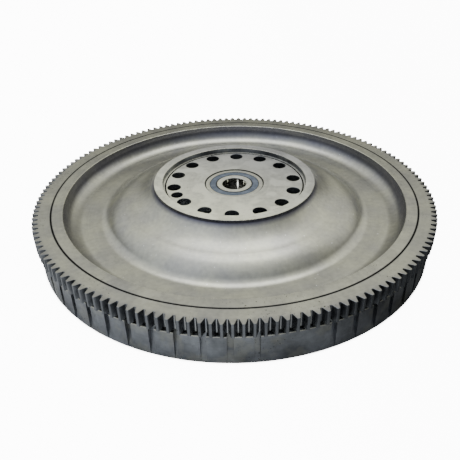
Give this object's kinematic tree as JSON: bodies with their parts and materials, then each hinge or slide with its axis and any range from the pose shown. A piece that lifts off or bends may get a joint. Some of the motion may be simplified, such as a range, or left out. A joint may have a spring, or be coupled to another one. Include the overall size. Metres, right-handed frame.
{
  "type": "engine flywheel",
  "caption": "Heavy engine flywheel with a starter ring gear, a dished web, a recessed crankshaft flange, timing slots in the rim and a sealed pilot ball bearing.",
  "frame": {"origin": "centre of the clutch-side face, on the crankshaft axis", "axes": "+Z along the crankshaft axis towards the crankshaft side; the part lies on its clutch-side face"},
  "size_m": [0.4922, 0.4921, 0.0708],
  "materials": {
    "machined_iron": "satin machined grey iron",
    "gear_steel": "satin turned steel",
    "bearing_steel": "fine ground bearing steel",
    "ball_steel": "polished bearing steel",
    "cage_steel": "pressed sheet steel",
    "seal_rubber": "matt blue-grey rubber"
  },
  "bodies": {
    "flywheel": {"flywheel_disc": "machined_iron", "ring_gear": "gear_steel", "bearing_outer_ring": "bearing_steel", "bearing_seal_crank_side": "seal_rubber", "bearing_seal_clutch_side": "seal_rubber"},
    "inner_ring": {"bearing_inner_ring": "bearing_steel"},
    "cage": {"bearing_cage_crank_half": "cage_steel", "bearing_cage_clutch_half": "cage_steel", "cage_rivet_1": "cage_steel", "cage_rivet_2": "cage_steel", "cage_rivet_3": "cage_steel", "cage_rivet_4": "cage_steel", "cage_rivet_5": "cage_steel", "cage_rivet_6": "cage_steel", "cage_rivet_7": "cage_steel", "cage_rivet_8": "cage_steel"},
    "ball_1": {"bearing_ball_1": "ball_steel"},
    "ball_2": {"bearing_ball_2": "ball_steel"},
    "ball_3": {"bearing_ball_3": "ball_steel"},
    "ball_4": {"bearing_ball_4": "ball_steel"},
    "ball_5": {"bearing_ball_5": "ball_steel"},
    "ball_6": {"bearing_ball_6": "ball_steel"},
    "ball_7": {"bearing_ball_7": "ball_steel"},
    "ball_8": {"bearing_ball_8": "ball_steel"}
  },
  "joints": [
    {"name": "inner_ring_spin", "type": "hinge", "parent": "flywheel", "child": "inner_ring", "pos_m": [0, 0, 0.05405], "axis": [0, 0, 1], "continuous": true},
    {"name": "cage_spin", "type": "hinge", "parent": "flywheel", "child": "cage", "pos_m": [0, 0, 0.05405], "axis": [0, 0, 1], "continuous": true},
    {"name": "ball_1_roll", "type": "hinge", "parent": "cage", "child": "ball_1", "pos_m": [0.0255, 0, 0.05405], "axis": [0, 0, 1], "continuous": true},
    {"name": "ball_2_roll", "type": "hinge", "parent": "cage", "child": "ball_2", "pos_m": [0.01803, 0.01803, 0.05405], "axis": [0, 0, 1], "continuous": true},
    {"name": "ball_3_roll", "type": "hinge", "parent": "cage", "child": "ball_3", "pos_m": [0, 0.0255, 0.05405], "axis": [0, 0, 1], "continuous": true},
    {"name": "ball_4_roll", "type": "hinge", "parent": "cage", "child": "ball_4", "pos_m": [-0.01803, 0.01803, 0.05405], "axis": [0, 0, 1], "continuous": true},
    {"name": "ball_5_roll", "type": "hinge", "parent": "cage", "child": "ball_5", "pos_m": [-0.0255, 0, 0.05405], "axis": [0, 0, 1], "continuous": true},
    {"name": "ball_6_roll", "type": "hinge", "parent": "cage", "child": "ball_6", "pos_m": [-0.01803, -0.01803, 0.05405], "axis": [0, 0, 1], "continuous": true},
    {"name": "ball_7_roll", "type": "hinge", "parent": "cage", "child": "ball_7", "pos_m": [0, -0.0255, 0.05405], "axis": [0, 0, 1], "continuous": true},
    {"name": "ball_8_roll", "type": "hinge", "parent": "cage", "child": "ball_8", "pos_m": [0.01803, -0.01803, 0.05405], "axis": [0, 0, 1], "continuous": true}
  ],
  "couplings": [
    {"joint": "cage_spin", "follows": "inner_ring_spin", "ratio": 0.37941},
    {"joint": "ball_1_roll", "follows": "inner_ring_spin", "ratio": -1.9526},
    {"joint": "ball_2_roll", "follows": "inner_ring_spin", "ratio": -1.9526},
    {"joint": "ball_3_roll", "follows": "inner_ring_spin", "ratio": -1.9526},
    {"joint": "ball_4_roll", "follows": "inner_ring_spin", "ratio": -1.9526},
    {"joint": "ball_5_roll", "follows": "inner_ring_spin", "ratio": -1.9526},
    {"joint": "ball_6_roll", "follows": "inner_ring_spin", "ratio": -1.9526},
    {"joint": "ball_7_roll", "follows": "inner_ring_spin", "ratio": -1.9526},
    {"joint": "ball_8_roll", "follows": "inner_ring_spin", "ratio": -1.9526}
  ]
}
